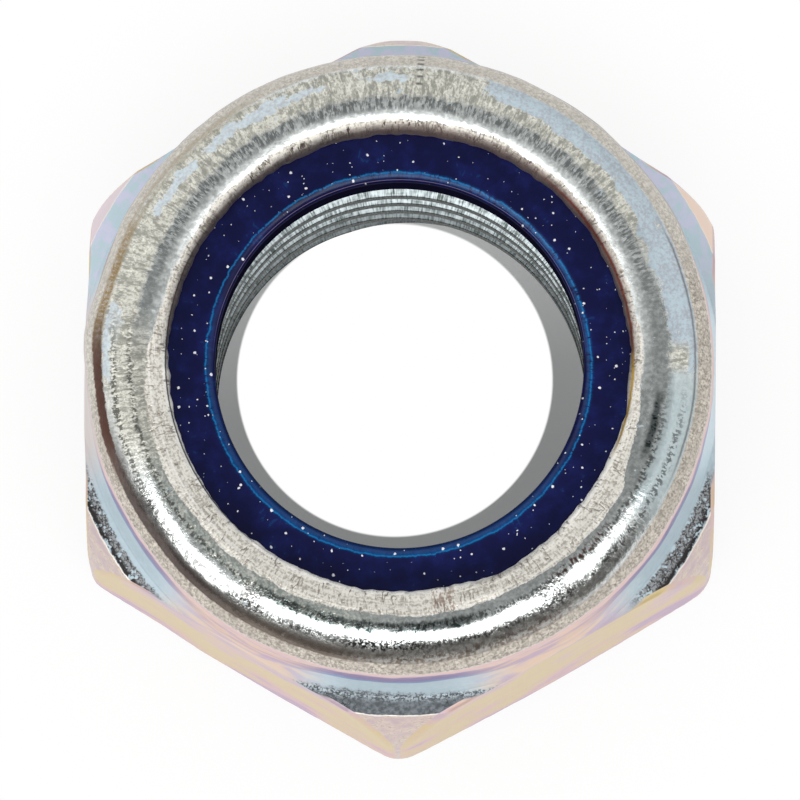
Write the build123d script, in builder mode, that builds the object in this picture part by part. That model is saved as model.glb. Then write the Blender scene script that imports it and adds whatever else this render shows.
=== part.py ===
from build123d import *
import os
from math import ceil, radians, tan

# Nylon insert lock nut, M16 x 2, in two pieces: a cold-formed steel body with a tapped bore
# and a collar rolled over at its top, and the nylon ring that the collar traps.
# Millimetres. Z runs up the bore from the middle of the bearing face. Two flats face +X and -X.

# Hexagon
across_flats = 24.0
corner_d = 27.28          # the forging die leaves the six corners unfilled beyond this diameter
bearing_d = 22.5          # washer face left inside the lower chamfer
chamfer_angle = 30.0      # of the cones at both ends of the hexagon, from the horizontal
shoulder_z = 10.35        # height at which the upper cone would meet the flats
cone_d = 25.76            # outer edge of the upper cone: beyond it the corners fall away steeply
full_corner_z = 4.5       # the corners keep their full diameter up to here

# Collar
nut_height = 16.0
collar_inset = 0.1        # the collar's wall stands this far inside the flats
flare_spread = 0.3        # the collar's foot flares out by this much
flare_top_z = 12.2        # the collar's wall is upright above here
roll_r = 2.24             # outer radius of the rolled-over rim
lip_slope_r = 0.96        # radius of the rim's inner slope
lip_bevel = 0.25          # under the lip's free edge
collar_wall = 1.45

# Thread
thread_d = 16.0
pitch = 2.0
flank_angle = 30.0        # of each flank, from square to the axis
drill_allowance = 0.365   # the hole is drilled this much over the basic minor diameter
crest_z = 3.1             # height of one of the thread's crests on the +Y side
countersink_angle = 45.0
mouth_depth = 1.55        # countersink at the bearing face
inner_mouth_depth = 1.2   # countersink at the floor of the ring's pocket

# Nylon ring
pocket_z = 11.6           # floor of the pocket that the ring sits on
pocket_bevel = 0.5        # where the pocket's wall turns in under the lip
ring_clearance = 0.05     # between the ring and the steel round it
ring_undersize = 0.28     # the ring's bore is this much smaller than the hole in the steel
ring_bevel = 0.38         # upper edge of the ring's bore
ring_chamfer = 0.25       # lower edges of the ring

# Radii and heights that follow
slope = tan(radians(chamfer_angle))
flat_r = across_flats / 2
bearing_r = bearing_d / 2
corner_r = corner_d / 2
corner_foot_z = (corner_r - bearing_r) * slope
cone_r = cone_d / 2
cone_z = shoulder_z - (cone_r - flat_r) * slope

collar_r = flat_r - collar_inset
flare_r = collar_r + flare_spread
flare_z = shoulder_z - (flare_r - flat_r) * slope
rim_r = collar_r - roll_r                    # the rim's highest circle
roll_z = nut_height - roll_r
lip_r = rim_r - lip_slope_r
pocket_r = collar_r - collar_wall
under_lip_z = nut_height - collar_wall

flank = tan(radians(flank_angle))
major_r = thread_d / 2
basic_depth = 5 / 8 * pitch / (2 * flank)    # five eighths of the sharp V
minor_r = major_r - basic_depth + drill_allowance / 2
sink = tan(radians(countersink_angle))
mouth_r = minor_r + mouth_depth / sink
inner_mouth_r = minor_r + inner_mouth_depth / sink

ring_r = pocket_r - ring_clearance
ring_top_z = under_lip_z - ring_clearance
ring_bore_r = minor_r - ring_undersize / 2

# The steel body is a turned profile, cut by the six flats.
with BuildPart() as nut_body:
    with BuildSketch(Plane.XZ):
        with BuildLine():
            Line((bearing_r, 0), (corner_r, corner_foot_z))
            Line((corner_r, corner_foot_z), (corner_r, full_corner_z))
            TangentArc((corner_r, full_corner_z), (cone_r, cone_z), tangent=(0, 1))
            Line((cone_r, cone_z), (flare_r, flare_z))
            Line((flare_r, flare_z), (collar_r, flare_top_z))
            Line((collar_r, flare_top_z), (collar_r, roll_z))
            CenterArc((rim_r, roll_z), roll_r, 0, 90)
            CenterArc((rim_r, nut_height - lip_slope_r), lip_slope_r, 90, 90)
            Polyline(
                (lip_r, nut_height - lip_slope_r),
                (lip_r, under_lip_z + lip_bevel),
                (lip_r + lip_bevel, under_lip_z),
                (pocket_r - pocket_bevel, under_lip_z),
                (pocket_r, under_lip_z - pocket_bevel),
                (pocket_r, pocket_z),
                (inner_mouth_r, pocket_z),
                (minor_r, pocket_z - inner_mouth_depth),
                (minor_r, mouth_depth),
                (mouth_r, 0),
                (bearing_r, 0),
            )
        make_face()
    revolve(axis=Axis.Z)

    with BuildSketch():
        RegularPolygon(radius=flat_r, side_count=6, major_radius=False, rotation=30)
    extrude(amount=nut_height, mode=Mode.INTERSECT)

    # The tap's groove: a trapezium with metric flanks, driven up a right-hand helix one turn at a
    # time. It enters below the bearing face and leaves above the pocket's floor, so it runs out
    # in both mouths.
    groove_z = crest_z + pitch / 4 - pitch * ceil(crest_z / pitch + 1)
    overcut = pitch / 10
    root_half = pitch / 16
    mouth_half = root_half + (major_r - minor_r + overcut) * flank
    for turn in range(ceil((pocket_z - groove_z) / pitch + 1)):
        turn_z = groove_z + turn * pitch
        with BuildLine(Plane.XY.offset(turn_z)):
            one_turn = Helix(pitch, pitch, minor_r)
        with BuildSketch(Plane.XZ.shift_origin((0, 0, turn_z))):
            with BuildLine():
                Polyline(
                    (minor_r - overcut, -mouth_half),
                    (major_r, -root_half),
                    (major_r, root_half),
                    (minor_r - overcut, mouth_half),
                    close=True,
                )
            make_face()
        sweep(path=one_turn, is_frenet=True, mode=Mode.SUBTRACT)

# The nylon ring fills the pocket under the lip. Its bore stays plain: the bolt cuts its own thread.
with BuildPart() as nylon_insert:
    with BuildSketch(Plane.XZ):
        with BuildLine():
            Polyline(
                (ring_bore_r, pocket_z + ring_chamfer),
                (ring_bore_r + ring_chamfer, pocket_z),
                (ring_r - ring_chamfer, pocket_z),
                (ring_r, pocket_z + ring_chamfer),
                (ring_r, ring_top_z - pocket_bevel),
                (ring_r - pocket_bevel, ring_top_z),
                (ring_bore_r + ring_bevel, ring_top_z),
                (ring_bore_r, ring_top_z - ring_bevel),
                close=True,
            )
        make_face()
    revolve(axis=Axis.Z)

os.makedirs("parts", exist_ok=True)
nut_body.part.label = "nut_body"
export_step(nut_body.part, "parts/nut_body.step")
nylon_insert.part.label = "nylon_insert"
export_step(nylon_insert.part, "parts/nylon_insert.step")
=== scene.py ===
from math import atan2, ceil, cos, exp, hypot, pi, radians, sin, tan

import bmesh
import bpy
from mathutils import Matrix, Vector, noise


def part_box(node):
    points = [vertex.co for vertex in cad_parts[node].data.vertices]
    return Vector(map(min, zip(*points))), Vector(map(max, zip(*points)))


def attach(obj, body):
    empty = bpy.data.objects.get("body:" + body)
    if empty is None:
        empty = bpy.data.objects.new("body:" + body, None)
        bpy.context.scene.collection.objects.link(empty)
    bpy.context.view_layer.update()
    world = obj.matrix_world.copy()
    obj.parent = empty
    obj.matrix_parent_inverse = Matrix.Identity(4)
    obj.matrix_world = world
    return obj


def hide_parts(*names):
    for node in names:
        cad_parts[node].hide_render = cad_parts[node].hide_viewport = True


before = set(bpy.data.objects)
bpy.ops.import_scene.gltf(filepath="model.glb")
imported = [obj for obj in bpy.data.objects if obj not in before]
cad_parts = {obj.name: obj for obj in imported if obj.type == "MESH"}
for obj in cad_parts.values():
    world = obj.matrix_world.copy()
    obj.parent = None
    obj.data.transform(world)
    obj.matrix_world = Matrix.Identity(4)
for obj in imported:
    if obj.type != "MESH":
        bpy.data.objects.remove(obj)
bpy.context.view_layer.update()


# The nut's body: cold-forged steel, turned in section, with six flats pressed on it and a thin
# collar rolled over at the top to hold the nylon ring. It is tapped, then zinc plated.

mm = 0.001

# Sizes in millimetres, from the axis out (r) and from the bearing face up (z). First the hexagon,
# with the cone and the falling corners that join it to the collar.
nut_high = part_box("nut_body")[1]
flat_r = nut_high.x / mm
corner_r = nut_high.y / mm
nut_height = nut_high.z / mm
bearing_r = 11.25
chamfer = tan(radians(30))
corner_foot_z = (corner_r - bearing_r) * chamfer
full_corner_z = 4.5
shoulder_z = 10.35
cone_r = 12.88
cone_z = shoulder_z - (cone_r - flat_r) * chamfer

# The collar, flared at its foot and rolled over at the top, and the pocket under its lip.
ring_low, ring_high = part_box("nylon_insert")
pocket_z = ring_low.z / mm
collar_r = flat_r - 0.1
flare_r = collar_r + 0.3
flare_z = shoulder_z - (flare_r - flat_r) * chamfer
flare_top_z = 12.2
roll_r = 2.24
rim_r = collar_r - roll_r
roll_z = nut_height - roll_r
lip_slope_r = 0.96
lip_bevel = 0.25
lip_r = rim_r - lip_slope_r
collar_wall = 1.45
pocket_r = collar_r - collar_wall
pocket_bevel = 0.5
under_lip_z = nut_height - collar_wall

# The thread, and the countersinks it runs out into at both ends.
minor_r = 7.1
major_r = 8.0
pitch = 2.0
crest_z = 3.1
mouth_r = 8.65
inner_mouth_r = 8.3
join_gap = 0.08


class Section:
    """A chain of edges in the XZ plane: the section of a turned piece, traced point by point."""

    def __init__(self, r, z):
        self.bm = bmesh.new()
        self.tip = self.bm.verts.new((r, 0, z))

    def line(self, r, z, parts=1):
        start = self.tip.co.copy()
        for part in range(parts):
            self.tip = bmesh.ops.extrude_vert_indiv(self.bm, verts=[self.tip])["verts"][0]
            self.tip.co = start.lerp(Vector((r, 0, z)), (part + 1) / parts)

    def arc(self, r, z, degrees, parts):
        """Turns the tip about (r, z); a positive angle goes from +X towards +Z."""
        turned = bmesh.ops.spin(
            self.bm, geom=[self.tip], cent=(r, 0, z), axis=(0, -1, 0), angle=radians(degrees), steps=parts
        )
        self.tip = next(v for v in turned["geom_last"] if isinstance(v, bmesh.types.BMVert))

    def turn(self, steps):
        bmesh.ops.spin(
            self.bm, geom=self.bm.verts[:] + self.bm.edges[:], axis=(0, 0, 1), cent=(0, 0, 0),
            angle=2 * pi, steps=steps, use_merge=True,
        )
        return self.bm


def radius_of(vert):
    return hypot(vert.co.x, vert.co.y)


def azimuth_of(vert):
    """How far round the axis the vertex is, in degrees from +X."""
    return atan2(vert.co.y, vert.co.x) * 180 / pi % 360


def set_radius(vert, r):
    scale = r / radius_of(vert)
    vert.co.x *= scale
    vert.co.y *= scale


def soft_min(a, b, softness):
    """The smaller of two sizes, eased where they are closer than softness, as a worn edge is."""
    overlap = max(softness - abs(a - b), 0) / softness
    return min(a, b) - overlap * overlap * softness / 4


def ease(value, low, high):
    """0 at low, 1 at high, smooth between them and level beyond. Low may lie above high."""
    share = min(max((value - low) / (high - low), 0), 1)
    return share * share * (3 - 2 * share)


def near(value, middle, width):
    """1 at the middle, falling away on both sides of it like a bell."""
    return exp(-(((value - middle) / width) ** 2))


# Corner arc: leaves the corner upright and meets the cone's outer edge.
bulge_rise = cone_z - full_corner_z
bulge_inset = corner_r - cone_r
bulge_r = (bulge_rise ** 2 + bulge_inset ** 2) / (2 * bulge_inset)
bulge_angle = atan2(bulge_rise, bulge_r - bulge_inset) * 180 / pi

# Flare: an arc that leaves the collar's wall upright.
flare_drop = flare_top_z - flare_z
flare_spread = flare_r - collar_r
flare_arc_r = (flare_drop ** 2 + flare_spread ** 2) / (2 * flare_spread)

body_steps, flare_parts = 480, 12
section = Section(mouth_r + join_gap, 0)
section.line(bearing_r, 0, 6)
section.line(corner_r, corner_foot_z, 10)
section.line(corner_r, full_corner_z, 7)
section.arc(corner_r - bulge_r, full_corner_z, bulge_angle, 24)
section.line(flare_r, flare_z, 8)
for part in range(1, flare_parts + 1):
    up = flare_drop * (1 - part / flare_parts)
    section.line(collar_r + flare_arc_r - (flare_arc_r ** 2 - up ** 2) ** 0.5, flare_top_z - up)
section.line(collar_r, roll_z, 9)
section.arc(rim_r, roll_z, 90, 34)
section.arc(rim_r, nut_height - lip_slope_r, 90, 14)
section.line(lip_r, under_lip_z + lip_bevel, 2)
section.arc(lip_r + lip_bevel, under_lip_z + lip_bevel, 90, 4)
section.line(pocket_r - pocket_bevel, under_lip_z, 3)
section.line(pocket_r, under_lip_z - pocket_bevel, 2)
section.line(pocket_r, pocket_z, 3)
section.line(inner_mouth_r + join_gap, pocket_z, 3)
body = section.turn(body_steps)

# The flats were pressed a little off true: how far each half of one falls back towards its corner,
# in millimetres, every 30 degrees round from +X. One flat stands proud near its middle. The corners
# are rounded, and two of their tips are worn a little shorter. Places are azimuths in degrees.
fall_back = (0.05, 0.08, 0.08, 0.10, 0.08, 0.10, 0.08, 0.08, 0.02, 0.00, 0.00, 0.00)
proud_at, proud_width, proud = 300, 22, 0.08
worn_tips = ((210, 0.02), (150, 0.06))
tip_width = 8
edge_softness = 0.06
for v in body.verts:
    azimuth = azimuth_of(v)
    away = radians((azimuth + 30) % 60 - 30)
    flat_at = flat_r - fall_back[int(azimuth // 30) % 12] * ease(abs(away), 0.14, 0.33)
    flat_at += proud * near(azimuth, proud_at, proud_width)
    from_corner = pi / 6 - abs(away)
    tip_r = corner_r
    for at, worn in worn_tips:
        tip_r -= near(azimuth, at, tip_width) * worn
    round_r = (flat_at / cos(pi / 6) - tip_r) / (1 / cos(pi / 6) - 1)
    beside = (tip_r - round_r) * sin(from_corner)
    r = radius_of(v)
    if beside < round_r / 2:
        r = min(r, (tip_r - round_r) * cos(from_corner) + (round_r ** 2 - beside ** 2) ** 0.5)
    set_radius(v, soft_min(r, flat_at / cos(away), edge_softness))

# Rolling leaves the collar a little lumpy. Each lump has an azimuth and half-width in degrees, a
# place and half-width across the roll in degrees from its top, and a height in millimetres.
lumps = (
    (239, 3, 28, 12, 0.02), (304, 4, 24, 12, 0.02), (347, 9, 3, 9, -0.09), (222, 14, 12, 12, -0.05),
    (258, 12, 34, 14, -0.04), (288, 10, 6, 10, -0.03), (175, 5, 75, 40, 0.11), (162, 6, 75, 40, -0.05),
    (216, 9, 75, 35, -0.05), (50, 16, 24, 14, -0.03), (15, 12, 26, 14, -0.04), (118, 12, 22, 12, -0.03),
    (122, 12, 75, 30, 0.05),
)
set_back, most_swell = 0.02, 0.12
foot_fade, inner_fade = (10.6, 13.2), (0.1, 0.4)
bmesh.ops.recalc_face_normals(body, faces=body.faces)
body.normal_update()
moves = []
for v in body.verts:
    r = radius_of(v)
    outside = ease(v.co.z, *foot_fade) * ease(max(r - pocket_r, v.co.z - under_lip_z), *inner_fade)
    azimuth = azimuth_of(v)
    lift = atan2(r - rim_r, v.co.z - roll_z) * 180 / pi
    swell = noise.noise(v.co * 0.42 + Vector((3.1, 0, 0))) * 0.05 + noise.noise(v.co * 1.1) * 0.02
    grainy = noise.noise(v.co * 3.0) * 0.006
    dents = sum(
        depth * near((azimuth - at + 180) % 360, 180, half) * near(lift, up, spread)
        for at, half, up, spread, depth in lumps
    )
    moves.append((v, v.normal * min(swell + grainy + dents - set_back, most_swell) * outside))
for v, move in moves:
    v.co += move
    v.co.x = min(max(v.co.x, -flat_r), flat_r)

# The lip was pressed flatter than its rolled curve, most of all at the front: by this share of how
# far it had dropped. Its free edge was sheared, and waves in and out.
front = 263
lip_press, front_press, front_width = 0.32, 0.23, 75
for v in body.verts:
    r = radius_of(v)
    at_lip = ease(r, 9.3, 8.75) * ease(v.co.z, 14.4, 14.5)
    way = Vector((v.co.x, v.co.y, 0)) / r
    azimuth = azimuth_of(v)
    drop = nut_height - v.co.z
    if r < rim_r and drop < lip_slope_r + 0.05:
        v.co.z += max(drop, 0) * (lip_press + front_press * near(azimuth, front, front_width))
    wave = noise.noise(way * 6) * 0.07 + noise.noise(way * 24) * 0.06
    wave += near(azimuth, 297, 9) * 0.13
    wave += near(azimuth, front, 60) * 0.06
    set_radius(v, r + wave * at_lip)

# The thread: one pitch of the wall, driven up the helix and trimmed at both mouths.
thread_steps = 144
flank_slope = tan(radians(30))
root_half = pitch / 16
mouth_half = root_half + (major_r - minor_r) * flank_slope
start_z = crest_z - pitch * ceil(crest_z / pitch + 1)
root_z = start_z + pitch / 2
thread = Section(minor_r, start_z)
thread.line(minor_r, root_z - mouth_half, 3)
thread.line(major_r, root_z - root_half, 4)
thread.line(major_r, root_z + root_half, 1)
thread.line(minor_r, root_z + mouth_half, 4)
thread.line(minor_r, start_z + pitch, 3)
wall = thread.bm
turns = ceil((pocket_z - start_z) / pitch + 1)
bmesh.ops.transform(wall, matrix=Matrix.Rotation(pi / 2, 4, "Z"), verts=wall.verts)
bmesh.ops.spin(
    wall, geom=wall.verts[:] + wall.edges[:], axis=(0, 0, 1), cent=(0, 0, 0),
    dvec=(0, 0, pitch / thread_steps), angle=2 * pi * turns, steps=thread_steps * turns,
)
bmesh.ops.remove_doubles(wall, verts=wall.verts, dist=1e-4)
for mouth_z, cut_away in ((0, {"clear_inner": True}), (pocket_z, {"clear_outer": True})):
    bmesh.ops.bisect_plane(
        wall, geom=wall.verts[:] + wall.edges[:] + wall.faces[:],
        plane_co=(0, 0, mouth_z), plane_no=(0, 0, 1), **cut_away
    )
for v in wall.verts:
    r = radius_of(v)
    set_radius(v, max(r, mouth_r - v.co.z, inner_mouth_r - (pocket_z - v.co.z)))

# Join the thread's wall to the body at both mouths.
scrap = bpy.data.meshes.new("scrap")
wall.to_mesh(scrap)
body.from_mesh(scrap)
bpy.data.meshes.remove(scrap)
for mouth_z, gap_r in ((0, mouth_r), (pocket_z, inner_mouth_r)):
    rim = [
        e for e in body.edges
        if e.is_boundary and all(abs(v.co.z - mouth_z) < 1e-4 for v in e.verts)
        and all(radius_of(v) < gap_r + 2 * join_gap for v in e.verts)
    ]
    bmesh.ops.triangle_fill(body, edges=rim, use_beauty=True, normal=(0, 0, 1))


def piece(bm, name, replaced, sharp_angle):
    """Makes the finished mesh, in millimetres so far, the scene's piece for a node of the part."""
    bmesh.ops.remove_doubles(bm, verts=bm.verts, dist=1e-5)
    bmesh.ops.recalc_face_normals(bm, faces=bm.faces)
    for f in bm.faces:
        f.smooth = True
    bmesh.ops.scale(bm, vec=(mm, mm, mm), verts=bm.verts)
    mesh = bpy.data.meshes.new(name)
    bm.to_mesh(mesh)
    mesh.set_sharp_from_angle(angle=radians(sharp_angle))
    made = bpy.data.objects.new(name, mesh)
    bpy.context.scene.collection.objects.link(made)
    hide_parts(replaced)
    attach(made, "root")
    return mesh


nut_mesh = piece(body, "nut_body_plated", "nut_body", sharp_angle=38)


class Field:
    """One output of a material's nodes. Sums on fields add the Math nodes that work them out."""

    def __init__(self, tree, socket=None):
        self.tree = tree
        self.socket = socket

    def node(self, kind, settings=None, sockets=None, out=0):
        """Adds a node, sets its settings and then its sockets, and returns one of its outputs."""
        made = self.tree.nodes.new("ShaderNode" + kind)
        for name, value in (settings or {}).items():
            setattr(made, name, value)
        for name, value in (sockets or {}).items():
            if isinstance(value, Field):
                self.tree.links.new(value.socket, made.inputs[name])
            else:
                made.inputs[name].default_value = value
        return Field(self.tree, made.outputs[out])

    def math(self, operation, *values):
        return self.node("Math", {"operation": operation}, dict(enumerate(values)))

    def __add__(self, other):
        return self.math("ADD", self, other)

    def __sub__(self, other):
        return self.math("SUBTRACT", self, other)

    def __rsub__(self, other):
        return self.math("SUBTRACT", other, self)

    def __mul__(self, other):
        return self.math("MULTIPLY", self, other)

    def __truediv__(self, other):
        return self.math("DIVIDE", self, other)

    def __or__(self, other):
        return self.math("MAXIMUM", self, other)

    __radd__, __rmul__ = __add__, __mul__

    def fract(self):
        """What is left of a value past its last whole number: a saw of teeth, one for each whole."""
        return self.math("FRACT", self)

    def step(self, low, high):
        """0 below low, 1 above high, eased between them. Low above high gives a falling step."""
        if low > high:
            return 1 - self.step(high, low)
        eased = {"interpolation_type": "SMOOTHSTEP"}
        return self.node("MapRange", eased, {"Value": self, "From Min": low, "From Max": high})

    def band(self, low, high, edge):
        return self.step(low - edge, low + edge) * self.step(high + edge, high - edge)

    def line(self, middle, half_width):
        """1 along the middle, fading to 0 at half_width on both sides of it."""
        return self.math("ABSOLUTE", self - middle).step(half_width, 0)

    def scaled(self, factor):
        return self.node("VectorMath", {"operation": "SCALE"}, {0: self, "Scale": factor})

    def noise(self, detail=2.0, rough=0.5):
        """Soft cloudy values about 0.5, read at this vector; one cloud is about 1 across."""
        sockets = {"Vector": self, "Scale": 1.0, "Detail": detail, "Roughness": rough}
        return self.node("TexNoise", None, sockets)

    def warped(self, scale, amount):
        """This vector, pushed about by a noise of this scale: amount is how far, on each axis."""
        push = self.node("TexNoise", None, {"Vector": self, "Scale": scale, "Detail": 2.0}, "Color")
        return self.node("VectorMath", {"operation": "MULTIPLY_ADD"}, {0: push, 1: amount, 2: self})

    def mix(self, share, base, over):
        """Colours: base where share is 0, over where it is 1."""
        colours = [c if isinstance(c, Field) else (*c, 1) for c in (base, over)]
        return self.node("Mix", {"data_type": "RGBA"}, {0: share, 6: colours[0], 7: colours[1]}, 2)


class Finish:
    """A new material, and where the point being shaded lies on the piece, in millimetres."""

    def __init__(self, name, mesh):
        self.material = bpy.data.materials.new(name)
        self.material.use_nodes = True
        self.shader = self.material.node_tree.nodes["Principled BSDF"]
        self.field = Field(self.material.node_tree)
        self.place = self.field.node("TexCoord", None, None, "Object").scaled(1 / mm)
        x, y, self.z = (self.field.node("SeparateXYZ", None, {0: self.place}, out) for out in "XYZ")
        self.r = self.field.math("SQRT", x * x + y * y)
        self.across, self.along = x / self.r, y / self.r
        mesh.materials.append(self.material)

    def facing(self, azimuth, half_width, fade):
        """1 on the side of the piece at this azimuth, within half_width degrees of it."""
        toward = self.across * cos(radians(azimuth)) + self.along * sin(radians(azimuth))
        return toward.step(cos(radians(half_width + fade)), cos(radians(max(half_width - fade, 0))))

    def round(self, turns, third):
        """A vector that runs round the axis at this scale, with what is given as its third value."""
        sockets = {0: self.across * turns, 1: self.along * turns, 2: third}
        return self.field.node("CombineXYZ", None, sockets)

    def connect(self, **sockets):
        for name, value in sockets.items():
            entry = self.shader.inputs[name.replace("_", " ")]
            if isinstance(value, Field):
                self.material.node_tree.links.new(value.socket, entry)
            else:
                entry.default_value = value


steel = Finish("zinc_plate", nut_mesh)
field, place, z, r = steel.field, steel.place, steel.z, steel.r
facing = steel.facing

# Angle round the roll: 0 at its top, 90 at the collar's wall, negative on the lip's slope.
lift = field.math("ARCTAN2", r - rim_r, z - roll_z) * (180 / pi)

# The plating's grain, from broad clouds down to sand. The tool that closed the collar dragged marks
# across it, and these give every worn patch its ragged edge.
slow = place.scaled(0.5).noise(2)
blotch = place.scaled(1.5).noise(3, 0.65)
grain = place.scaled(5.5).noise(2, 0.6)
sand = place.scaled(10).noise(1, 0.6)
drag = steel.round(46, lift * 0.06 + blotch * 0.8).noise(3, 0.7)
fine_drag = steel.round(95, lift * 0.12 + blotch * 0.8).noise(2, 0.7)
cracks = steel.round(24, lift * 0.03 + blotch).noise(2, 0.6)
ragged = (drag - 0.5) * 0.6 + (blotch - 0.5) * 0.4 + (grain - 0.5) * 0.35
plates = {"Vector": place.warped(3.0, (0.35, 0.35, 0.35)).scaled(2.1), "Scale": 1.0}
crackle = field.node("TexVoronoi", {"feature": "DISTANCE_TO_EDGE"}, plates).step(0.05, 0.01)
worms = place.scaled(3.2).noise(2).line(0.5, 0.035)
curls = (blotch * 4).fract().line(0.5, 0.22)
tooth = (drag * 0.5 + fine_drag * 0.5).step(0.42, 0.56)
streak = (fine_drag * 0.5 + grain * 0.5).step(0.52, 0.42)

# The two worn bands: the lip, wider round the front, and the roll's outer shoulder.
on_top = z.step(14.2, 14.6)
near_side = facing(front, 88, 9)
far_side = facing(106, 84, 12)
worn_side = facing(235, 88, 14)
lip_side = facing(275, 76, 9) | facing(245, 66, 20)
lip_edge = r + ragged * 0.30 + (slow - 0.5) * 0.5 - lip_side * 0.63 + facing(344, 7, 8) * 0.36
lip_band = lip_edge.step(9.15, 9.09) * on_top
outer_band = (lift - worn_side * 7 + ragged * 6).step(45, 48) * (lift + ragged * 3).step(75, 73)
outer_band = outer_band * z.step(13.7, 13.9)

# Patches of blue film: azimuth and half-width in degrees, then the lift each one starts and ends at.
patches = [
    facing(at, half, 5) * (lift + (slow - 0.5) * 10).band(low, high, 6)
    for at, half, low, high in (
        (15, 15, 15, 60), (49, 24, 23, 60), (93, 2, 26, 35), (109, 2, 25, 34), (119, 3, 22, 38),
        (128, 3, 24, 37), (143, 4, 25, 36), (177, 7, 24, 43),
    )
]
blue = patches[0]
for patch in patches[1:]:
    blue = blue | patch
blue = (blue + ragged * 1.5 + (blotch - 0.5) * 1.8).step(0.42, 0.60) * (1 - outer_band)

# Dragged metal and a dark band beside it at the far side, where the metal reflects the dark above; wear at
# the left and right, and the mottled, broken and dull stretches between the burnished ones.
dragged = (lift + ragged * 20).band(9, 44, 3) * far_side * (1 - blue)
far_dark_reflection = (lift + ragged * 14).band(-3, 9, 2.5) * facing(88, 70, 14)
wear = facing(188, 13, 8) * (lift + ragged * 20).band(-6, 36, 4)
wear = wear | facing(1, 2, 2) * (lift + ragged * 24).band(14, 36, 4)
mottled = facing(222, 42, 12) * (lift + ragged * 14).band(-8, 17, 4)
junction = (facing(239, 1, 3) | facing(304, 2, 3)) * (lift + ragged * 20).band(12, 40, 6)
broken = facing(200, 6, 4) * (lift + ragged * 20).band(20, 44, 5)
dull = facing(344, 14, 6) * (lift + ragged * 10).band(14, 51, 4)
matte = lip_band | outer_band | dragged | wear * 0.7 | far_dark_reflection * tooth * 0.4

zinc = field.mix(grain.step(0.3, 0.7), (0.55, 0.58, 0.57), (0.82, 0.85, 0.84))
zinc = field.mix(dull * 0.9, zinc, field.mix(grain, (0.36, 0.43, 0.45), (0.52, 0.60, 0.62)))
curled = curls * 0.6 + sand.step(0.4, 0.6) * 0.4
zinc = field.mix(mottled * 0.9, zinc, field.mix(curled, (0.30, 0.33, 0.31), (0.80, 0.80, 0.72)))
# Darker strokes in the far band: partly marks, partly painted reflection of the dark above.
zinc = field.mix(far_dark_reflection * fine_drag.step(0.58, 0.44) * 0.85, zinc, (0.36, 0.37, 0.37))
speckled = (sand * 0.4 + grain * 0.3 + blotch * 0.3).step(0.38, 0.60)
blue_film = field.mix(speckled, (0.40, 0.43, 0.48), (0.50, 0.60, 0.66))
zinc = field.mix(blue * (0.72 + 0.25 * facing(30, 45, 10)), zinc, blue_film)
toothed = tooth * (0.35 + 0.65 * sand.step(0.35, 0.5)) * 0.75 + curls * 0.25
zinc = field.mix(dragged | wear, zinc, field.mix(toothed, (0.33, 0.33, 0.29), (0.82, 0.80, 0.72)))

pitted = (sand * 0.4 + fine_drag * 0.4 + grain * 0.2).step(0.37, 0.60)
beige = field.mix(pitted, (0.31, 0.28, 0.24), (0.72, 0.66, 0.585))
beige = field.mix(blotch.step(0.56, 0.44) * 0.35, beige, (0.38, 0.34, 0.30))
cracked = cracks.line(0.45, 0.04) * blotch.step(0.5, 0.6) * 0.5 | crackle * 0.35
beige = field.mix(cracked, beige, (0.14, 0.12, 0.095))
# The far side of the outer band is painted lighter: painted light.
beige = field.mix(far_side * 0.35, beige, (0.72, 0.71, 0.66))
zinc = field.mix(outer_band, zinc, beige)

brushed = steel.round(6, r * 14).noise(2, 0.6)
scored = (fine_drag * 0.3 + sand * 0.4 + brushed * 0.3).step(0.38, 0.56)
lip_colour = field.mix(scored, (0.42, 0.39, 0.34), (0.80, 0.77, 0.71))
lip_colour = field.mix(facing(100, 75, 12) * lift.step(-16, -22) * 0.6, lip_colour, (0.28, 0.25, 0.23))
nicks = facing(95, 45, 12) * drag.step(0.42, 0.36) * (lift + ragged * 10).band(-30, -17, 2)
lip_colour = field.mix(nicks, lip_colour, (0.07, 0.055, 0.05))
# The lip's edge at the front is painted near white: painted light where its slope turns away from the lamps.
lip_colour = field.mix(near_side * r.step(9.0, 8.85), lip_colour, (0.97, 0.95, 0.90))
lip_colour = field.mix(facing(281, 2.5, 1) * fine_drag.step(0.52, 0.46) * 0.6, lip_colour, (0.25, 0.15, 0.11))
zinc = field.mix(lip_band, zinc, lip_colour)
# At the left, a dark ring at the lip's free edge is painted shadow, and a pale line runs higher on the lip.
rings = facing(190, 40, 12) * lip_band
zinc = field.mix(rings * (r + ragged * 0.05).line(8.81, 0.05), zinc, (0.03, 0.03, 0.035))
zinc = field.mix(rings * 0.7 * (lift + ragged * 3).line(-6, 1.6), zinc, (0.90, 0.89, 0.84))

# Cracks and ticks across the worn bands, and painted dark reflection beside the bright strips at the front.
tick = cracks.line(0.5, 0.05) * blotch.step(0.50, 0.58) * lip_band * on_top
far_tick = cracks.line(0.42, 0.05) * facing(105, 60, 10) * lift.step(-17, -21) * blotch.step(0.4, 0.5)
tick = tick | far_tick * on_top
zinc = field.mix(tick * 0.7, zinc, (0.12, 0.095, 0.075))
# Teal-black under the bright strip at the front is painted dark reflection; at 346 degrees it is painted
# shade in a dent.
teal_dark_reflection = facing(front, 24, 4) * (lift + ragged * 16).band(9, 19, 2)
teal_dark_reflection = teal_dark_reflection | facing(346, 6, 3) * (lift + ragged * 8).band(3, 10, 2)
zinc = field.mix(teal_dark_reflection * (0.72 + 0.28 * streak), zinc, (0.012, 0.030, 0.030))
rust_specks = facing(314, 8, 3) * (lift + ragged * 10).band(7, 15, 2) * streak
zinc = field.mix(rust_specks, zinc, (0.16, 0.05, 0.035))
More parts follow.
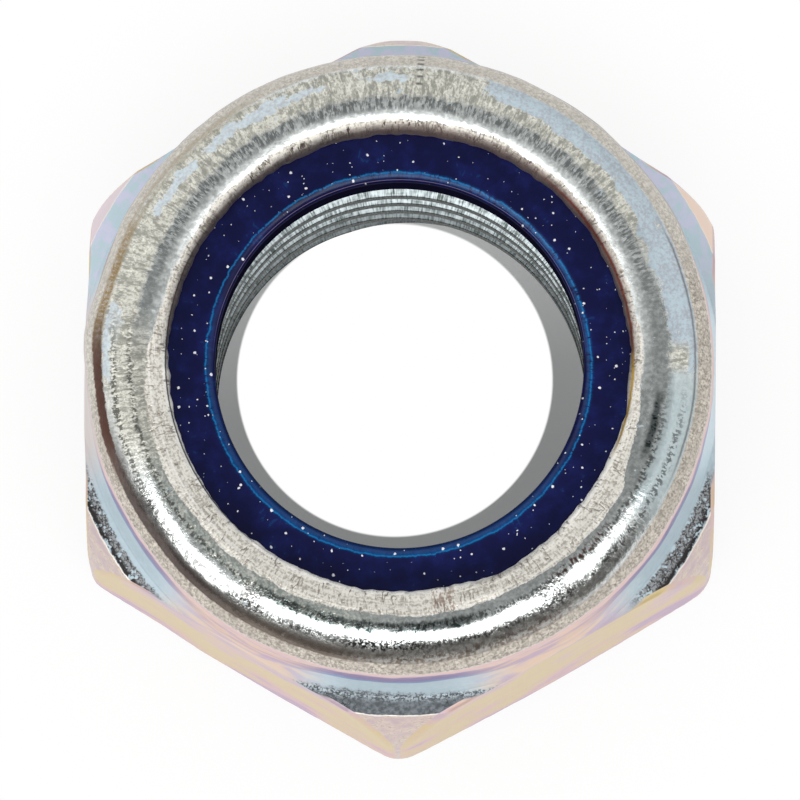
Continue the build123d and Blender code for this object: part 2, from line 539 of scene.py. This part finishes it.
# The brown band outside the bright strips is painted dark reflection, tinted brown.
brown_reflection_band = facing(253, 56, 9) * (lift + ragged * 4).step(55.5, 53.5) * (lift + ragged * 8).step(33, 45)
brown_reflection_tint = field.mix(fine_drag, (0.02, 0.012, 0.01), (0.09, 0.042, 0.028))
shade = field.mix(facing(214, 20, 8), (0.155, 0.115, 0.088), brown_reflection_tint)
zinc = field.mix(brown_reflection_band * (0.90 + facing(290, 26, 8) * (streak * 0.3 - 0.3)), zinc, shade)
# Dark strokes at the junctions, in the gap and along the edges of the bright strips are painted reflection:
# they break up the lamps' reflection there.
sparkle = (sand * 0.6 + drag * 0.4).step(0.53, 0.47)
zinc = field.mix(junction * sparkle * 0.85, zinc, (0.05, 0.042, 0.038))
reflection_gap = facing(267, 8, 5) * (lift + ragged * 14).band(26, 38, 2)
zinc = field.mix(reflection_gap * sparkle, zinc, (0.05, 0.05, 0.05))
reflection_edge_strokes = (fine_drag * 0.6 + sand * 0.4).step(0.53, 0.48)
reflection_edges = (lift + ragged * 20).band(28, 35, 2) | (lift + ragged * 16).band(11, 16, 2)
zinc = field.mix(near_side * (1 - reflection_gap) * reflection_edges * reflection_edge_strokes * 0.8, zinc, (0.07, 0.07, 0.065))

# A line of rust stain under the left shoulder, painted shadow along the lip's far edge with brown and ochre
# lines round it, and the tool's ladder of small marks at the far side.
rust_line = (lift + ragged * 9 - facing(190, 20, 10) * 3).line(48, 10.5).step(0, 0.7)
rust_line = rust_line * (0.6 + 0.4 * fine_drag.step(0.35, 0.6))
zinc = field.mix(rust_line * facing(140, 16, 10) * 0.5, zinc, (0.30, 0.24, 0.13))
zinc = field.mix(rust_line * facing(166, 11, 7) * 0.9, zinc, (0.27, 0.165, 0.045))
zinc = field.mix(rust_line.step(0, 0.6) * facing(188, 12, 7) * 0.95, zinc, (0.075, 0.022, 0.010))
zinc = field.mix((lift + ragged * 2).line(43, 2.5) * facing(2, 24, 6) * 0.7, zinc, (0.10, 0.09, 0.09))
far_edge_shadow = (r + ragged * 0.12).step(8.90, 8.76) * facing(90, 92, 12) * on_top
zinc = field.mix(far_edge_shadow * 0.8, zinc, (0.07, 0.05, 0.05))
zinc = field.mix((r + ragged * 0.12).step(9.12, 8.85) * facing(50, 50, 14) * 0.55, zinc, (0.22, 0.16, 0.14))
edge_line = (r + ragged * 0.1).line(8.82, 0.09) * on_top
zinc = field.mix(edge_line * facing(24, 25, 8) * 0.9, zinc, (0.17, 0.03, 0.015))
zinc = field.mix(edge_line * facing(350, 11, 5), zinc, (0.45, 0.28, 0.04))
ladder = facing(86.5, 0.6, 0.3) * (lift * (1 / 9)).fract().line(0.5, 0.3) * lift.band(20, 78, 3)
zinc = field.mix(ladder * 0.8, zinc, (0.04, 0.045, 0.045))

# Below the roll the passivation shows its colours: pink, purple and blue lines round the collar's
# wall, pale blue on the flare and the cone, and streaks of yellow, pink and lilac on the flats.
below_roll = (lift + ragged * 4).step(74, 76) | z.step(13.8, 13.6)
under_flare = z.step(10.2, 10.0)
upper_cone = z.step(9.0, 9.5)
middle = facing(240, 7, 12) | facing(300, 7, 12)
drift = z + (slow - 0.5) * 0.8 + middle * 0.8
pale_blue = field.mix(grain, (0.46, 0.58, 0.65), (0.62, 0.73, 0.79))
wall_film = field.mix(drift.step(14.10, 13.85), (0.68, 0.49, 0.47), (0.27, 0.20, 0.38))
wall_film = field.mix(drift.step(12.9, 12.6), wall_film, (0.22, 0.30, 0.52))
wall_film = field.mix(drift.step(12.35, 12.15), wall_film, pale_blue)
wall_film = field.mix(far_side * z.step(13.45, 13.6), wall_film, (0.33, 0.29, 0.27))

# How far out each point is, measured square to the nearest pair of flats.
sixth = pi / 3
reach = (steel.across | steel.across * -1) * r
for side in (-1, 1):
    slant = (steel.across * cos(sixth) + steel.along * (side * sin(sixth))) * r
    reach = reach | slant | slant * -1
flat = reach.step(flat_r - 0.16, flat_r - 0.13) * z.step(10.1, 10.0)
cone_edge = r - cone_r + (blotch - 0.5) * 0.14
cone = (cone_edge + 0.02).step(0.02, -0.02) * (1 - flat)

# Each film of the flats starts where the level, which wanders as the liquid ran, passes its height.
flow = steel.round(4, z * 0.35).noise(1)
streaks = steel.round(7, z * 1.8 + flow * 3).noise(2, 0.45)
level = z * 0.065 + (flow - 0.5) * 1.3 + (streaks - 0.5) * 0.5 + 0.03
flat_film = (0.46, 0.31, 0.45)
for height, film in (
    (0.06, (0.62, 0.40, 0.42)), (0.20, (0.62, 0.46, 0.29)), (0.38, (0.62, 0.49, 0.26)),
    (0.64, (0.62, 0.44, 0.40)), (0.82, (0.52, 0.39, 0.47)), (1.04, (0.44, 0.47, 0.53)),
):
    flat_film = field.mix(level.step(height - 0.12, height + 0.08), flat_film, film)
corner_film = field.mix(blotch.step(0.35, 0.65), (0.52, 0.40, 0.42), (0.64, 0.53, 0.46))
corner_film = field.mix(worms * blotch.step(0.45, 0.6) * 0.5, corner_film, (0.16, 0.11, 0.09))
corner_film = field.mix(facing(30, 15, 10), corner_film, (0.80, 0.60, 0.48))
corner_film = field.mix(facing(150, 15, 10), corner_film, (0.70, 0.58, 0.63))
# The far side of the cone is lighter and lilac: partly film, partly painted light.
far_film_and_light = field.mix(blotch.step(0.42, 0.60), (0.62, 0.62, 0.76), (0.50, 0.63, 0.68))
cone_film = field.mix(grain, (0.37, 0.45, 0.50), (0.47, 0.56, 0.61))
cone_film = field.mix(far_side, cone_film, far_film_and_light)
lower = field.mix(z.step(10.5, 10.2), wall_film, cone_film)
peach = field.mix(streaks.step(0.42, 0.58), (0.52, 0.34, 0.44), (0.74, 0.50, 0.34))
lower = field.mix(middle * z.step(14.2, 13.6) * 0.85, lower, peach)
lower = field.mix(facing(182, 14, 6) * 0.8, lower, (0.60, 0.50, 0.47))

# Painted reflection on the cone: a dark crescent at the front corner and dark ragged edges at the corners
# beside it stand in for the dark that the smooth cone reflects.
side_r = r + ragged * 0.45
bowl = side_r - (steel.along + 1) * 4 - steel.across * 0.25
crescent_reflection = bowl.step(12.04, 12.14) * facing(270, 19, 2) * cone * upper_cone
crescent_reflection_colour = field.mix(grain.step(0.35, 0.7), (0.075, 0.085, 0.095), (0.17, 0.19, 0.205))
crescent_reflection_colour = field.mix(bowl.step(12.45, 12.1) * sand.step(0.45, 0.55), crescent_reflection_colour, (0.45, 0.52, 0.56))
crescent_reflection_colour = field.mix(1 - facing(270, 7, 3), crescent_reflection_colour, field.mix(worms, crescent_reflection_colour, (0.02, 0.025, 0.025)))
lower = field.mix(crescent_reflection, lower, crescent_reflection_colour)
ragged_corner_reflection = facing(210, 13, 3) * side_r.band(12.36, 12.84, 0.04)
ragged_corner_reflection = ragged_corner_reflection | facing(330, 13, 3) * side_r.band(12.24, 12.84, 0.04)
ragged_corner_reflection = ragged_corner_reflection * cone * upper_cone * (grain * 0.5 + blotch * 0.5).step(0.60, 0.53)
corner_reflection_colour = field.mix(sand.step(0.35, 0.6), (0.07, 0.07, 0.07), (0.27, 0.28, 0.29))
outermost = side_r.step(12.58, 12.72) | worms
lower = field.mix(ragged_corner_reflection, lower, field.mix(outermost, corner_reflection_colour, (0.022, 0.018, 0.018)))
lower = field.mix((1 - cone) * under_flare, lower, corner_film)
lower = field.mix(flat, lower, flat_film)
# A pale line along the cone's edge is a painted highlight.
lower = field.mix(cone_edge.line(0.0, 0.035) * (1 - flat) * 0.8 * under_flare, lower, (0.86, 0.82, 0.74))

# The bore: crests dark, flanks bright and torn by the tap, with painted shade making them darker towards the
# foot.
bore = r.step(mouth_r + 0.04, mouth_r - 0.05) * z.step(12.2, 12.0)
tap = steel.round(100, z * 2.6).noise(2, 0.7)
tear = steel.round(14, z * 9).noise(2, 0.6)
crest = field.mix(tap.step(0.4, 0.65), (0.015, 0.022, 0.020), (0.10, 0.12, 0.115))
flank_torn_and_shaded = field.mix((tap * 0.6 + tear * 0.4).step(0.34, 0.60), (0.10, 0.125, 0.12), (0.62, 0.69, 0.71))
flank_torn_and_shaded = field.mix(z.step(7.0, 2.5) * 0.6, flank_torn_and_shaded, (0.10, 0.115, 0.115))
flank = r.step(minor_r + 0.015, minor_r + 0.04) | z.step(9.5, 10.1)

colour = field.mix(bore, field.mix(below_roll, zinc, lower), field.mix(flank, crest, flank_torn_and_shaded))
metal = 1 - (matte * 0.5 | blue * 0.5 | mottled * 0.35 | dull * 0.5 | brown_reflection_band * 0.25)
film_metal = 0.40 - (cone | crescent_reflection) * z.step(10.5, 10.3) * 0.33
metal = metal * (1 - below_roll) + below_roll * film_metal
metal = metal * (1 - bore) + bore * (0.15 + flank * 0.75)
far_gloss = facing(90, 95, 12) * lift.band(-20, -2, 3)
uneven = junction | broken
rough = 0.22 - near_side * 0.02 + far_gloss * 0.15 + uneven * 0.10 \
    + (matte | below_roll * 0.6 | blue * 0.5) * 0.26 + bore * 0.15 + (grain - 0.5) * 0.1
scratch = (grain - 0.5) * (0.24 + (dragged | wear) * 0.5 + uneven * 0.9 + mottled * 0.4 - below_roll * 0.14) \
    + (drag - 0.5) * (0.26 + matte * 0.3 + far_dark_reflection * 0.2 - below_roll * 0.12) \
    + (fine_drag - 0.5) * (0.18 + matte * 0.3 - below_roll * 0.06) \
    + (sand - 0.5) * (0.05 + matte * 0.2 + mottled * 0.15) \
    + (tap - 0.5) * bore * 0.8 - tick * 0.6 - ladder * 0.6
relief = {"Height": scratch, "Distance": 0.03 * mm, "Strength": 1.0}
steel.connect(
    Base_Color=colour, Metallic=metal, Roughness=rough, Specular_IOR_Level=0.15,
    Normal=field.node("Bump", None, relief),
)


# The ring: moulded nylon, dyed navy, pressed in under the collar. Its bore is plain and a little
# smaller than the thread, with a fine burr round its upper edge; white dust clings to its face.

ring_r = ring_high.x / mm
ring_top = ring_high.z / mm
ring_bore_r = 6.96
ring_edge_r = 0.38
ring_face_r = ring_bore_r + ring_edge_r
ring_chamfer = 0.25
ring_lead = 0.85
burr_spread, burr_rise = 0.07, 0.03
ring_steps = 360

ring = Section(ring_bore_r, pocket_z + ring_lead)
ring.line(ring_bore_r + ring_chamfer, pocket_z, 4)
ring.line(ring_r - ring_chamfer, pocket_z, 4)
ring.line(ring_r, pocket_z + ring_chamfer, 2)
ring.line(ring_r, ring_top - pocket_bevel, 4)
ring.line(ring_r - pocket_bevel, ring_top, 2)
ring.line(ring_face_r, ring_top, 26)
ring.arc(ring_face_r, ring_top - ring_edge_r, 90, 12)
ring.line(ring_bore_r, pocket_z + ring_lead, 6)
ring = ring.turn(ring_steps)

# The face lies a hair low, and sinks a little more in its middle, so that only the burr reaches the top.
for v in ring.verts:
    r = radius_of(v)
    way = Vector((v.co.x, v.co.y, 0)) / r
    on_face = ease(v.co.z, ring_top - 0.3, ring_top - 0.1)
    burr_r = ring_face_r + noise.noise(way * 9) * 0.06
    burr = max(1 - abs(r - burr_r) / burr_spread, 0) * (0.6 + 0.4 * noise.noise(way * 40))
    hollow = ease(r, 7.35, 7.9) * ease(r, 8.8, 8.3)
    v.co.z += on_face * (burr * burr_rise - burr_rise - hollow * 0.02 + noise.noise(v.co * 2) * 0.004)

ring_mesh = piece(ring, "nylon_ring", "nylon_insert", sharp_angle=50)

nylon = Finish("navy_nylon", ring_mesh)
field, place, z, r = nylon.field, nylon.place, nylon.z, nylon.r
cloud = place.scaled(1.2).noise(3, 0.6)
fine = place.scaled(9).noise(2, 0.6)
flick = nylon.round(60, r * 3).noise(3, 0.7)
on_face = z.step(ring_top - 0.3, ring_top - 0.1)


def dust(per_mm, smallest, largest, share):
    """Round specks of dust, per_mm across, sized in millimetres, in this share of the cells."""
    spread = {"Vector": place.warped(9.0, (0.08, 0.08, 0)).scaled(per_mm), "Scale": 1.0}
    from_speck, tint = (
        field.node("TexVoronoi", {"voronoi_dimensions": "2D"}, spread, out) for out in ("Distance", "Color")
    )
    luck = field.node("SeparateColor", None, {0: tint})
    size = smallest * per_mm + luck.step(1 - share, 1) * ((largest - smallest) * per_mm)
    return (size - from_speck).step(0, 0.02 * per_mm) * luck.step(1 - share, 1.001 - share)


specks = (dust(1.7, 0.02, 0.065, 0.45) | dust(3.3, 0.016, 0.036, 0.16)) * on_face
burr_r = r + nylon.facing(35, 25, 30) * 0.10 + (nylon.round(14, 0.0).noise(4, 0.7) - 0.5) * 0.22
# Cyan along the burr, brighter at the front, is a painted highlight on the bore's edge; the blue beside it is
# painted sheen.
burr_highlight = burr_r.line(7.32, 0.055) * on_face
burr_highlight = burr_highlight * (flick.step(0.34, 0.5) | nylon.facing(262, 60, 20) * 0.7)
burr_sheen = burr_r.line(7.26, 0.20) * on_face * (nylon.facing(45, 60, 20) | nylon.facing(250, 80, 20) * 0.6)
# A blue band round the front of the bore's edge is painted sheen.
near_edge_sheen = nylon.facing(258, 62, 25) * r.band(7.02, 7.32, 0.06) * z.step(14.0, 14.3)
navy = field.mix(cloud.step(0.4, 0.75), (0.0025, 0.0035, 0.042), (0.005, 0.009, 0.080))
navy = field.mix((flick * cloud).step(0.36, 0.44) * 0.3, navy, (0.005, 0.07, 0.20))
navy = field.mix(near_edge_sheen * 0.5, navy, (0.001, 0.05, 0.20))
in_bore = z.step(ring_top - 0.15, ring_top - 0.4) * r.step(7.2, 7.1)
navy = field.mix(in_bore, navy, (0.006, 0.006, 0.020))
# A lilac line on the far side of the bore's edge is painted reflection.
bore_edge_reflection = (r - 7.0 + (z - ring_top) * 0.3).line(0.0, 0.02) * nylon.facing(90, 80, 15)
navy = field.mix(bore_edge_reflection, navy, (0.20, 0.15, 0.22))
navy = field.mix(burr_sheen * flick.step(0.30, 0.55) * 0.6, navy, (0.002, 0.08, 0.26))
navy = field.mix(burr_highlight * 0.8, navy, (0.003, 0.17, 0.42))
navy = field.mix(specks, navy, (0.80, 0.80, 0.86))
relief = {"Height": fine + specks * 2, "Distance": 0.01 * mm, "Strength": 1.0}
nylon.connect(
    Base_Color=navy, Roughness=0.5, Specular_IOR_Level=0.0,
    Coat_Weight=(1 - in_bore) * 0.45, Coat_Roughness=0.3,
    Normal=field.node("Bump", None, relief),
)


# The studio: a wide white floor with a low rim, and soft lamps high round the nut. Two stand in front,
# a bright strip and a smaller one to its left, with a pale card at the right, the left and the far
# side. A grey flag under the strip gives the metal something dark to show.


def stage_piece(bm, name):
    mesh = bpy.data.meshes.new(name)
    bm.to_mesh(mesh)
    made = bpy.data.objects.new(name, mesh)
    bpy.context.scene.collection.objects.link(made)
    material = bpy.data.materials.new(name)
    material.use_nodes = True
    mesh.materials.append(material)
    return made, material


floor_r, rim_height = 2.0, 0.12
below_nut = 0.02 * mm
floor_bm = bmesh.new()
bmesh.ops.create_circle(floor_bm, cap_ends=True, segments=96, radius=floor_r)
raised = bmesh.ops.extrude_edge_only(floor_bm, edges=[e for e in floor_bm.edges if e.is_boundary])["geom"]
rim_verts = [v for v in raised if isinstance(v, bmesh.types.BMVert)]
bmesh.ops.translate(floor_bm, vec=(0, 0, rim_height), verts=rim_verts)
bmesh.ops.translate(floor_bm, vec=(0, 0, -below_nut), verts=floor_bm.verts)
floor, paper = stage_piece(floor_bm, "floor")
nodes, links = paper.node_tree.nodes, paper.node_tree.links
matt = nodes["Principled BSDF"]
matt.inputs["Base Color"].default_value = (0.85, 0.85, 0.85, 1)
matt.inputs["Roughness"].default_value = 0.9
matt.inputs["Specular IOR Level"].default_value = 0.0

# The floor shows white to the eye and in the metal, yet keeps a part of the nut's shadow close by.
# The round seen through the bore glows white as a painted pool of light; beside it under the nut the floor
# glows only a little.
field = Field(paper.node_tree)
spot = field.node("TexCoord", None, None, "Object").scaled(1 / mm)
out_r = field.node("VectorMath", {"operation": "LENGTH"}, {0: spot}, "Value")
in_hole = field.node("VectorMath", {"operation": "DISTANCE"}, {0: spot, 1: (-0.29, 1.25, 0)}, "Value")
seen, mirrored, through = (
    field.node("LightPath", None, None, "Is " + ray + " Ray") for ray in ("Camera", "Glossy", "Transmission")
)
painted_light_disc = in_hole.step(6.16, 6.06)
beyond_nut = out_r.step(9, 11)
share = (0.86 + out_r.step(12, 20) * 0.14) * beyond_nut
share = share + painted_light_disc + (1 - painted_light_disc) * (1 - beyond_nut) * 0.165
share = (seen | mirrored | through) * share
white = field.node("Emission", None, {"Strength": 1.0})
blend = field.node("MixShader", None, {0: share, 1: Field(paper.node_tree, matt.outputs[0]), 2: white})
links.new(blend.socket, nodes["Material Output"].inputs["Surface"])

# The flag is a strip of a ball's skin round the front of the nut. Its top and foot are given in
# degrees down from the zenith, and it sweeps round from its starting azimuth.
flag_r, flag_top, flag_foot = 1.3, 48, 88
flag_start, flag_sweep = 196, 132
flag_bm = bmesh.new()
ends = [
    flag_bm.verts.new((sin(radians(polar)) * flag_r, 0, cos(radians(polar)) * flag_r))
    for polar in (flag_top, flag_foot)
]
flag_edge = flag_bm.edges.new(ends)
bmesh.ops.rotate(flag_bm, verts=ends, matrix=Matrix.Rotation(radians(flag_start), 3, "Z"), cent=(0, 0, 0))
bmesh.ops.spin(
    flag_bm, geom=ends + [flag_edge], axis=(0, 0, 1), cent=(0, 0, 0), angle=radians(flag_sweep), steps=44
)
flag, felt = stage_piece(flag_bm, "flag")
cloth = felt.node_tree.nodes["Principled BSDF"]
cloth.inputs["Base Color"].default_value = (0.10, 0.085, 0.075, 1)
cloth.inputs["Roughness"].default_value = 1.0
cloth.inputs["Specular IOR Level"].default_value = 0.0
flag.visible_camera = False

# Each lamp is aimed at the nut. Its azimuth is anticlockwise from +X and its polar angle is down from
# the zenith, both in degrees; its width and height are in metres and its power is in watts.
lamp_distance = 1.0
for name, azimuth, polar, width, height, power in (
    ("key", -78, 39, 1.15, 0.42, 7.4),
    ("key_left", 220, 50, 0.50, 0.54, 3.0),
    ("card_right", 12, 60, 1.35, 0.80, 2.4),
    ("card_left", 158, 63, 1.10, 0.65, 2.4),
    ("card_far", 90, 63, 1.3, 0.65, 2.4),
):
    light = bpy.data.lights.new(name, "AREA")
    light.shape = "RECTANGLE"
    light.size, light.size_y = width, height
    light.energy = power
    lamp = bpy.data.objects.new(name, light)
    around, down = radians(azimuth), radians(polar)
    away = Vector((cos(around) * sin(down), sin(around) * sin(down), cos(down)))
    lamp.location = away * lamp_distance
    lamp.rotation_euler = away.to_track_quat("Z", "Y").to_euler()
    lamp.visible_camera = False
    bpy.context.scene.collection.objects.link(lamp)

world = bpy.data.worlds.new("studio")
world.use_nodes = True
world.node_tree.nodes["Background"].inputs["Color"].default_value = (0.31, 0.32, 0.32, 1)
bpy.context.scene.world = world


# The camera looks down the bore, a little from the front: tilted from the axis, turned about it, and
# rolled a little about its own line of sight. It is aimed at mid height, and stands far enough away
# that the view's width is measured there.

view_z = 8 * mm
tilt, turn, roll = radians(7.268), radians(3.635), radians(3.074)
distance = 576.74 * mm
view_width = 30.554 * mm
aim_up, aim_right = -0.543 * mm, -0.022 * mm
towards = Vector((sin(tilt) * sin(turn), -sin(tilt) * cos(turn), cos(tilt)))
right = Vector((cos(turn), sin(turn), 0))
up = towards.cross(right)
right, up = right * cos(roll) - up * sin(roll), right * sin(roll) + up * cos(roll)
aim = Vector((0, 0, view_z)) + up * aim_up + right * aim_right
camera = bpy.data.objects.new("camera", bpy.data.cameras.new("camera"))
camera.data.lens = camera.data.sensor_width * distance / view_width
camera.data.clip_start, camera.data.clip_end = 0.05, 10
stand = Matrix((right, up, towards)).transposed().to_4x4()
stand.translation = aim + towards * distance
camera.matrix_world = stand
bpy.context.scene.collection.objects.link(camera)
bpy.context.scene.camera = camera
bpy.context.scene.view_settings.view_transform = "Standard"
